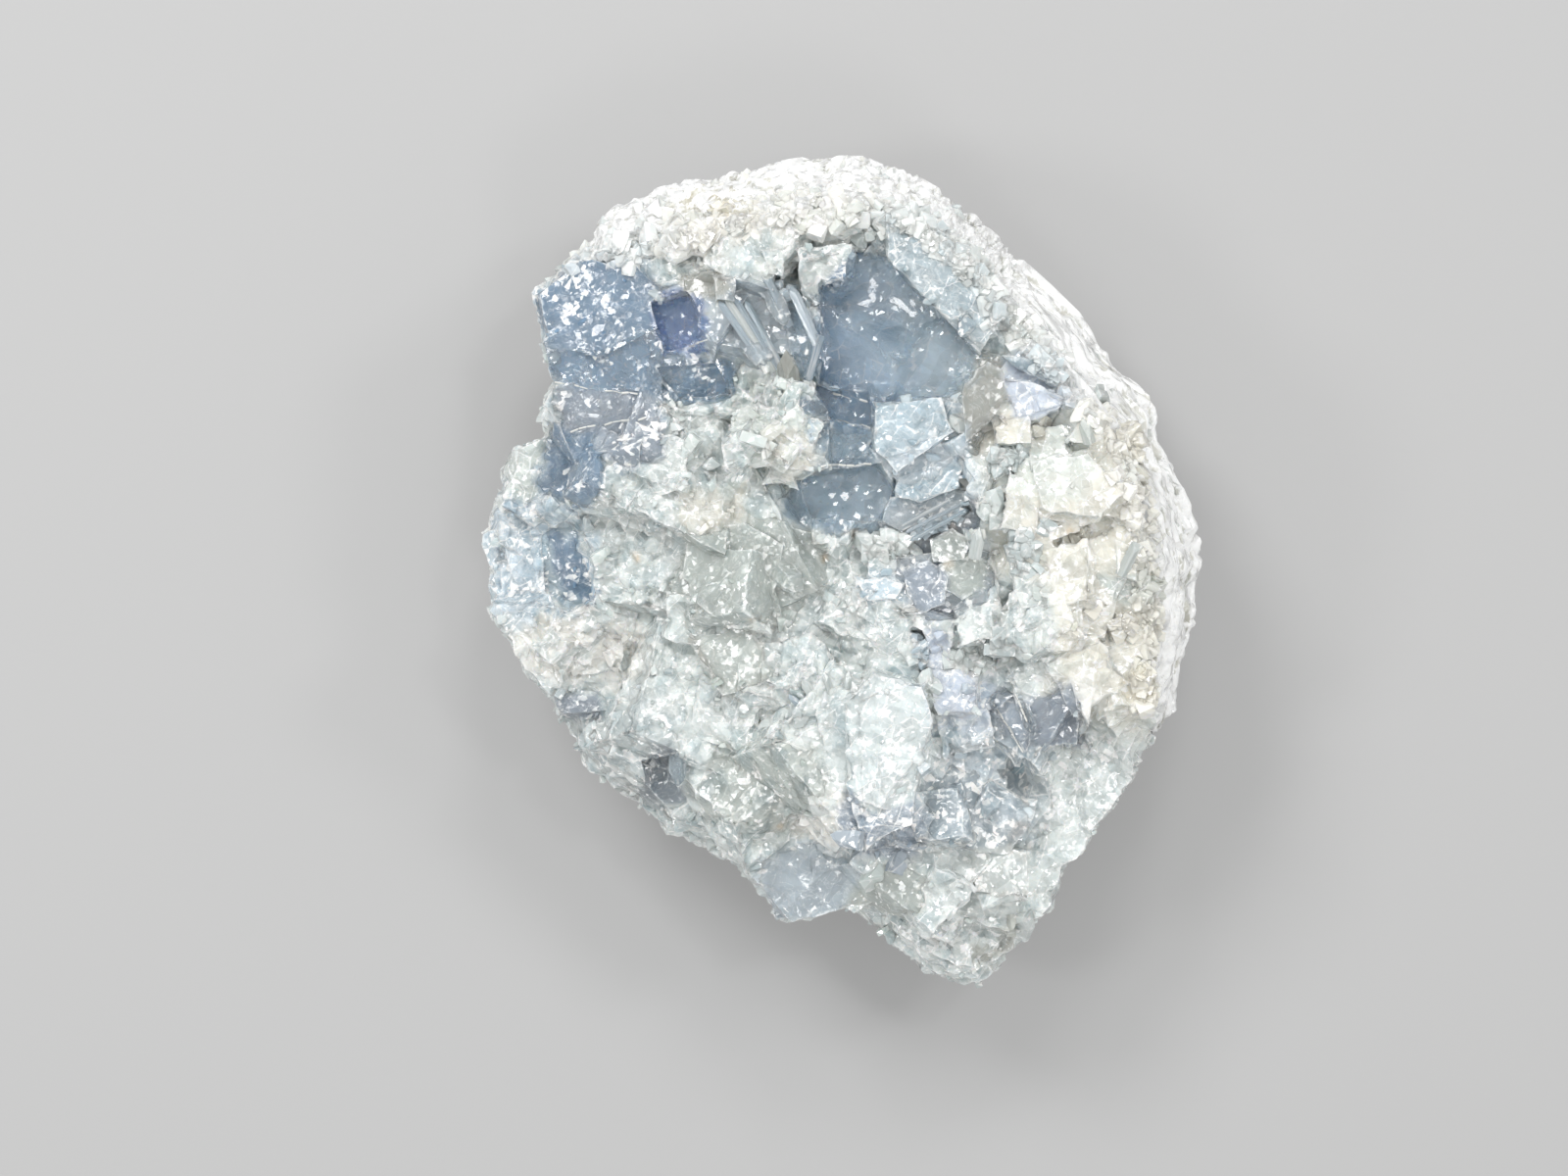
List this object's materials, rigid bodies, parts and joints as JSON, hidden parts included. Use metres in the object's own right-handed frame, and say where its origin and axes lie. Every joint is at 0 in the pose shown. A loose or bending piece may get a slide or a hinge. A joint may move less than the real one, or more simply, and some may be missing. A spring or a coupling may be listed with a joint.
{
  "type": "celestite crystal cluster",
  "caption": "Broken piece of a celestite geode: pale blue and white crystals grown together on a thick ridged white wall that also forms the flat-based back",
  "frame": {"origin": "on the surface the piece rests on, below the middle of its bounding box", "axes": "+Z out of the crystal side, +Y along the longest extent towards the ridged rim's upper end, +X towards the ridged rim"},
  "size_m": [0.089, 0.102, 0.0451],
  "materials": {
    "rind": "rough white to cream mineral wall with parallel ridges",
    "celestite": "translucent pale blue to white crystal, glossy faces between sugary frosted crusts"
  },
  "bodies": {
    "root": {"rind": "rind", "crystal_mass": "celestite"}
  },
  "joints": []
}
